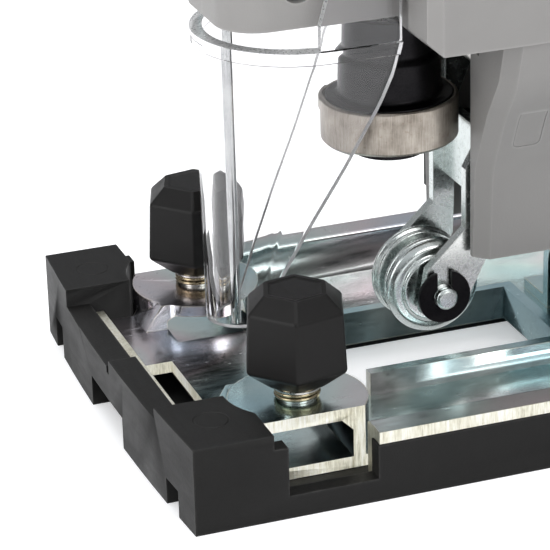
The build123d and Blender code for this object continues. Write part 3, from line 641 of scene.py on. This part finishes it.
# %% Lathe helper
def turned(name, profile, centre, axis="Z", sides=96):
    """A turned piece. profile is (radius, distance along the axis) in mm, in order.

    A profile that starts and ends on one point closes into a ring with a bore.
    """
    deselect()
    first_radius, first_place = profile[0]
    bpy.ops.mesh.primitive_circle_add(vertices=sides, radius=first_radius * MM,
                                      fill_type="NOTHING", location=(0, 0, first_place * MM))
    piece = named(name)
    bpy.ops.object.transform_apply(location=True)
    bpy.ops.object.mode_set(mode="EDIT")
    bpy.ops.mesh.select_all(action="SELECT")
    for (r0, z0), (r1, z1) in zip(profile, profile[1:]):
        bpy.ops.mesh.extrude_region_move(
            TRANSFORM_OT_translate={"value": (0, 0, (z1 - z0) * MM)})
        if abs(r1 - r0) > 1e-9:
            bpy.ops.transform.resize(value=(r1 / r0, r1 / r0, 1))
    if profile[0] == profile[-1]:
        bpy.ops.mesh.select_all(action="SELECT")
        bpy.ops.mesh.remove_doubles(threshold=1e-6)
    else:
        bpy.ops.mesh.select_all(action="DESELECT")
        bpy.ops.mesh.select_mode(type="EDGE")
        bpy.ops.mesh.select_non_manifold(extend=False)
        bpy.ops.mesh.edge_face_add()
        fill_open_ends()
    bpy.ops.mesh.select_all(action="SELECT")
    bpy.ops.mesh.normals_make_consistent(inside=False)
    bpy.ops.object.mode_set(mode="OBJECT")
    if axis == "Y":
        piece.rotation_euler = (-math.pi / 2, 0, 0)
    elif axis == "X":
        piece.rotation_euler = (0, math.pi / 2, 0)
    piece.location = Vector(centre) * MM
    bpy.ops.object.transform_apply(location=True, rotation=True)
    return piece


def fill_open_ends():
    """Closes each open ring of edges with a face."""
    mesh = bmesh.from_edit_mesh(bpy.context.object.data)
    for _ in range(4):
        rim = [e for e in mesh.edges if e.is_boundary]
        if not rim:
            break
        for e in mesh.edges:
            e.select_set(False)
        ring, todo = set(), [rim[0]]
        while todo:
            edge = todo.pop()
            if edge in ring:
                continue
            ring.add(edge)
            todo += [e for v in edge.verts for e in v.link_edges if e.is_boundary]
        for edge in ring:
            edge.select_set(True)
        bmesh.update_edit_mesh(bpy.context.object.data)
        bpy.ops.mesh.edge_face_add()
        mesh = bmesh.from_edit_mesh(bpy.context.object.data)


def rounded(profile, radius, steps=4):
    """The profile with each of its corners replaced by a small arc."""
    closed = profile[0] == profile[-1]
    points = profile[:-1] if closed else profile
    result = []
    for i, here in enumerate(points):
        if not closed and i in (0, len(points) - 1):
            result.append(here)
            continue
        before, after = Vector(points[i - 1]), Vector(points[(i + 1) % len(points)])
        corner = Vector(here)
        a, b = before - corner, after - corner
        reach = min(radius, 0.45 * a.length, 0.45 * b.length)
        start, end = corner + a.normalized() * reach, corner + b.normalized() * reach
        for step in range(steps + 1):
            t = step / steps
            point = start * (1 - t) ** 2 + corner * 2 * t * (1 - t) + end * t ** 2
            result.append((point.x, point.y))
    if closed:
        result.append(result[0])
    return result


# %% Clamp ring and collar
ring_low, ring_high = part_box("clamp_ring")
ring_bottom, ring_top = ring_low[2] / MM, ring_high[2] / MM
ring_radius = (ring_high[0] - ring_low[0]) / 2 / MM
socket_low, socket_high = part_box("blade_socket")
socket_bottom = socket_low[2] / MM
print("clamp ring", round(ring_radius, 2), "mm radius,", round(ring_top - ring_bottom, 2), "mm tall")
ring_profile = rounded([
    (6.2, ring_bottom), (ring_radius - 0.5, ring_bottom), (ring_radius, ring_bottom + 0.5),
    (ring_radius, ring_top - 0.35), (ring_radius - 0.35, ring_top), (ring_radius - 0.75, ring_top),
    (ring_radius - 0.75, ring_top - 0.5), (6.2, ring_top - 0.5), (6.2, ring_bottom)], 0.12, 3)
clamp_ring = finish_piece(turned("clamp_ring_turned", ring_profile, (0, 0, 0)),
                          "clamp", "ring_steel", ("clamp_ring",))
# The collar carries a thin disc over the ring and a sleeve round the plunger
rest = ring_top
collar_profile = rounded([
    (6.2, rest - 0.4), (10.65, rest - 0.4), (10.65, rest + 0.15), (9.0, rest + 0.35),
    (8.6, rest + 0.8), (8.45, rest + 6.6), (7.7, rest + 7.6), (7.7, rest + 13.9),
    (6.2, rest + 13.9), (6.2, rest - 0.4)], 0.25, 3)
collar = finish_piece(turned("clamp_collar_turned", collar_profile, (0, 0, 0)),
                      home["clamp_collar"], "black_steel", ("clamp_collar",))

# %% [markdown]
# ## Guide roller
#
# The roller backs the blade. Its rim carries stepped shoulders and a groove that
# the back of the blade runs in. It is turned, plated and soon worn blotchy.

# %% Guide roller and pin
roller_low, roller_high = (Vector(v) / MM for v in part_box("guide_roller"))
roller_middle = (roller_low + roller_high) / 2
roller_radius = (roller_high.x - roller_low.x) / 2
roller_half = (roller_high.y - roller_low.y) / 2
R, H = roller_radius, roller_half
roller_profile = rounded([
    (2.2, -H), (R - 2.6, -H), (R - 2.2, -H + 0.5), (R - 1.0, -H + 0.5), (R, -H + 1.35),
    (R, -3.0), (R - 0.75, -2.75), (R - 0.75, -2.2), (R - 0.2, -1.9), (R - 0.2, -1.2),
    (R - 2.4, -0.9), (R - 2.4, 0.9), (R - 0.2, 1.2), (R - 0.2, 1.9), (R - 0.75, 2.2),
    (R - 0.75, 2.75), (R, 3.0), (R, H - 1.35), (R - 1.0, H - 0.5), (R - 2.2, H - 0.5),
    (R - 2.6, H), (2.2, H), (2.2, -H)], 0.45, 4)
roller = turned("guide_roller_turned", roller_profile, roller_middle, "Y", 96)
finish_piece(roller, "roller", "plated_bright", ("guide_roller",), smooth=40)

pin_low, pin_high = (Vector(v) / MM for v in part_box("roller_pin"))
E = pin_high.y
pin_profile = rounded([
    (0.02, -E), (1.45, -E), (1.92, -E + 0.45), (1.92, -9.3), (1.35, -9.15), (1.35, -8.15),
    (1.92, -8.0), (1.92, 8.0), (1.35, 8.15), (1.35, 9.15), (1.92, 9.3), (1.92, E - 0.45),
    (1.45, E), (0.02, E)], 0.15, 3)
pin = turned("roller_pin_turned", pin_profile, (roller_middle.x, 0, roller_middle.z), "Y", 48)
finish_piece(pin, "fork", "plated_bright", ("roller_pin",))
print("roller radius", round(R, 2), "pin half length", round(E, 2))

# %% [markdown]
# ## Guide knobs
#
# Each knob is a black moulding with six flats: narrow where it meets its spring,
# widest low down, then slightly tapered, with a chamfered crown. The lathe helper
# also walks a six-sided ring, so the same few numbers give the knob. A bevel rounds
# all the edges, and the crown is inset and dropped a little, as the mould leaves it.

# %% Guide knobs
KNOB_TURN = math.radians(41)
for side, y_sign in (("left", -1), ("right", 1)):
    low, high = (Vector(v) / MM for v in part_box(f"{side}_guide_knob"))
    middle = (low + high) / 2
    foot, crown = low.z, high.z
    knob = turned(f"{side}_knob_moulding", [
        (4.7, foot), (5.75, foot + 0.8), (9.15, foot + 3.5), (8.62, crown - 2.7),
        (5.65, crown)], (0, 0, 0), "Z", 6)
    knob.rotation_euler = (0, 0, KNOB_TURN)
    knob.location = (middle.x * MM, middle.y * MM, 0)
    bpy.ops.object.transform_apply(location=True, rotation=True)
    bpy.ops.object.mode_set(mode="EDIT")
    bpy.ops.mesh.select_mode(type="FACE")
    bpy.ops.mesh.select_all(action="DESELECT")
    mesh = bmesh.from_edit_mesh(knob.data)
    for face in mesh.faces:
        face.select_set(face.normal.z > 0.95)
    bmesh.update_edit_mesh(knob.data)
    bpy.ops.mesh.inset(thickness=0.7 * MM, depth=0)
    bpy.ops.mesh.inset(thickness=0.35 * MM, depth=-0.18 * MM)
    break_edges(0.42, 4, lambda m, d: m.z < crown - 0.05, sharper=12)
    bpy.ops.object.mode_set(mode="OBJECT")
    finish_piece(knob, f"{side}_knob", "knob_plastic", (f"{side}_guide_knob",), smooth=40)
    print(knob.name, "from", round(foot, 1), "to", round(crown, 1), "mm")

# %% [markdown]
# ## Knob springs
#
# A short wire spring keeps each knob from rattling loose. A spring is a round
# section carried along a helix, and the Screw modifier does exactly that to a small
# circle, so no curve has to be drawn. Applied, it is a plain mesh like the rest.

# %% Knob springs
SPRING_RADIUS, WIRE_RADIUS, SPRING_TURNS = 3.45, 0.31, 3
for side in ("left", "right"):
    low, high = (Vector(v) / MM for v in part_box(f"{side}_knob_spring"))
    centre = (low + high) / 2
    arch_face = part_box("base_plate")[1][2] / MM
    start = low.z + 0.05
    room_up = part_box(f"{side}_guide_knob")[0][2] / MM - 2 * WIRE_RADIUS - start - 0.05
    deselect()
    bpy.ops.mesh.primitive_circle_add(vertices=12, radius=WIRE_RADIUS * MM, fill_type="NOTHING",
                                      rotation=(math.pi / 2, 0, 0),
                                      location=(SPRING_RADIUS * MM, 0, 0))
    spring = named(f"{side}_spring_wound")
    bpy.ops.object.transform_apply(location=True, rotation=True)
    screw = spring.modifiers.new("wind", "SCREW")
    screw.axis = "Z"
    screw.angle = 2 * math.pi
    screw.screw_offset = (room_up + WIRE_RADIUS) / SPRING_TURNS * MM
    screw.iterations = SPRING_TURNS
    screw.steps = screw.render_steps = 40
    bpy.ops.object.modifier_apply(modifier="wind")
    bpy.ops.object.mode_set(mode="EDIT")
    bpy.ops.mesh.select_all(action="DESELECT")
    fill_open_ends()
    bpy.ops.mesh.select_all(action="SELECT")
    bpy.ops.mesh.normals_make_consistent(inside=False)
    bpy.ops.object.mode_set(mode="OBJECT")
    spring.location = (centre.x * MM, centre.y * MM, (start + WIRE_RADIUS) * MM)
    bpy.ops.object.transform_apply(location=True)
    finish_piece(spring, home[f"{side}_knob_spring"], "spring_steel",
                 (f"{side}_knob_spring",), smooth=60)
    print(spring.name, "faces", len(spring.data.polygons))

# %% [markdown]
# ## Clear blade guard
#
# The guard is a moulded nose of clear plastic: narrow at the foot, wide at the rim,
# open at the back, with two ears that hang it from the housing. Clear plastic shows
# every flaw in a mesh, so the wall starts as one even sheet of quads bent round the
# nose. The ears are extruded from its rim, then the wall gets its thickness, a bead
# is raised round the rim, and its edges are rounded so that they catch the light.

# %% Guard outline
guard_low, guard_high = (Vector(v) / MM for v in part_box("blade_guard"))
GUARD_WALL = 1.6
FOOT_Z, RIM_Z = guard_low.z, 66.0
FOOT_HALF, RIM_HALF = 6.0, guard_high.y - 0.5
GUARD_FRONT = guard_low.x + 0.5
REAR_EDGE = [(16.0, -26.1), (26.5, -21.2), (35.0, -17.0), (43.2, -12.6), (55.0, -6.9),
             (60.5, -5.0), (66.0, -4.2)]
EAR_FRONT = [(66.0, -19.0), (70.0, -17.7), (76.0, -15.9), (84.0, -14.6), (92.0, -14.4)]
EAR_ROWS = [(70.0, 0), (76.0, 0), (84.0, 0), (92.0, 0), (94.5, 30), (96.3, 60), (96.95, 80)]


def along(line, z):
    """The value of a broken line at a height."""
    for (z0, v0), (z1, v1) in zip(line, line[1:]):
        if z <= z1:
            return v0 + (v1 - v0) * (z - z0) / (z1 - z0)
    return line[-1][1]


def guard_point(share, z):
    """A point of the guard's outer face: share runs from the left rear round to the right."""
    half = FOOT_HALF + (RIM_HALF - FOOT_HALF) * (z - FOOT_Z) / (RIM_Z - FOOT_Z)
    centre = GUARD_FRONT + half
    rear = along(REAR_EDGE, z)
    side = -1 if share < 0.5 else 1
    inward = min(share, 1 - share)
    if inward < 0.25:
        return rear + (centre - rear) * inward / 0.25, side * half
    angle = (0.5 - inward) / 0.25 * math.pi / 2
    return centre - half * math.cos(angle), side * half * math.sin(angle)


# %% Guard wall
GUARD_COLUMNS, GUARD_ROWS = 56, 25
deselect()
bpy.ops.mesh.primitive_grid_add(x_subdivisions=GUARD_COLUMNS, y_subdivisions=GUARD_ROWS, size=1)
guard = named("blade_guard_moulding")
for vertex in guard.data.vertices:
    row = vertex.co.y + 0.5
    z = FOOT_Z + (RIM_Z - 2.2 - FOOT_Z) * row / (1 - 1 / GUARD_ROWS)
    z = min(z, RIM_Z) if row < 0.999 else RIM_Z
    x, y = guard_point(vertex.co.x + 0.5, z)
    vertex.co = Vector((x, y, z)) * MM
bpy.ops.object.mode_set(mode="EDIT")
bpy.ops.mesh.select_mode(type="EDGE")
bpy.ops.mesh.select_all(action="DESELECT")
mesh = bmesh.from_edit_mesh(guard.data)
for edge in mesh.edges:
    ends = [v.co / MM for v in edge.verts]
    edge.select_set(all(v.z > RIM_Z - 0.01 and v.x > -18.6 for v in ends))
bmesh.update_edit_mesh(guard.data)
before = RIM_Z
for z, angle in EAR_ROWS:
    bpy.ops.mesh.extrude_region_move(TRANSFORM_OT_translate={"value": (0, 0, (z - before) * MM)})
    mesh = bmesh.from_edit_mesh(guard.data)
    chosen = [v for v in mesh.verts if v.select]
    old_rear = max(v.co.x for v in chosen) / MM
    old_front = min(v.co.x for v in chosen) / MM
    front, rear = along(EAR_FRONT, z), -4.4 if z > 80 else -4.2
    if angle:
        middle_x, reach = -9.4, 5.0 * math.cos(math.radians(angle))
        front, rear = middle_x - reach, middle_x + reach
    for v in chosen:
        share = (v.co.x / MM - old_front) / (old_rear - old_front)
        x = front + share * (rear - front)
        ahead = max(0.0, (GUARD_FRONT + RIM_HALF) - x)
        y = math.sqrt(RIM_HALF ** 2 - ahead ** 2)
        v.co.x, v.co.y = x * MM, math.copysign(y, v.co.y) * MM
    bmesh.update_edit_mesh(guard.data)
    before = z
bpy.ops.mesh.select_all(action="SELECT")
bpy.ops.mesh.normals_make_consistent(inside=False)
bpy.ops.object.mode_set(mode="OBJECT")
outward = sum(p.normal.x for p in guard.data.polygons if p.center.x < -0.028)
if outward > 0:
    bpy.ops.object.mode_set(mode="EDIT")
    bpy.ops.mesh.flip_normals()
    bpy.ops.object.mode_set(mode="OBJECT")
print("guard sheet faces", len(guard.data.polygons))

# %% Guard thickness, bead and edges
wall = guard.modifiers.new("wall", "SOLIDIFY")
wall.thickness = GUARD_WALL * MM
wall.offset = -1
wall.use_even_offset = True
# The second material is the painted edge highlight, put on the wall's cut faces.
guard.data.materials.append(finishes["clear_plastic"])
guard.data.materials.append(finishes["guard_edge_highlight"])
wall.material_offset_rim = 1
bpy.ops.object.modifier_apply(modifier="wall")
bpy.ops.object.mode_set(mode="EDIT")
bpy.ops.mesh.select_mode(type="FACE")
bpy.ops.mesh.select_all(action="DESELECT")
mesh = bmesh.from_edit_mesh(guard.data)
bead = 0
for face in mesh.faces:
    c, n = face.calc_center_median() / MM, face.normal
    outside_face = (c.x < -16 and n.x < -0.05) or (c.y * n.y > 0)
    if RIM_Z - 2.3 < c.z < RIM_Z - 0.1 and abs(n.z) < 0.5 and outside_face:
        face.select_set(True)
        bead += 1
bmesh.update_edit_mesh(guard.data)
bpy.ops.mesh.extrude_region_shrink_fatten(
    TRANSFORM_OT_shrink_fatten={"value": 0.5 * MM, "use_even_offset": False})
break_edges(0.30, 2, sharper=50)
bpy.ops.object.mode_set(mode="OBJECT")
# The cut faces of the wall keep the painted highlight finish.
highlight_faces = {f.index for f in guard.data.polygons if f.material_index}
finish_piece(guard, "guard", "clear_plastic", ("blade_guard",), smooth=35)
guard.data.materials.append(finishes["guard_edge_highlight"])
for face in guard.data.polygons:
    face.material_index = int(face.index in highlight_faces)
print("bead faces", bead, "guard faces", len(guard.data.polygons))
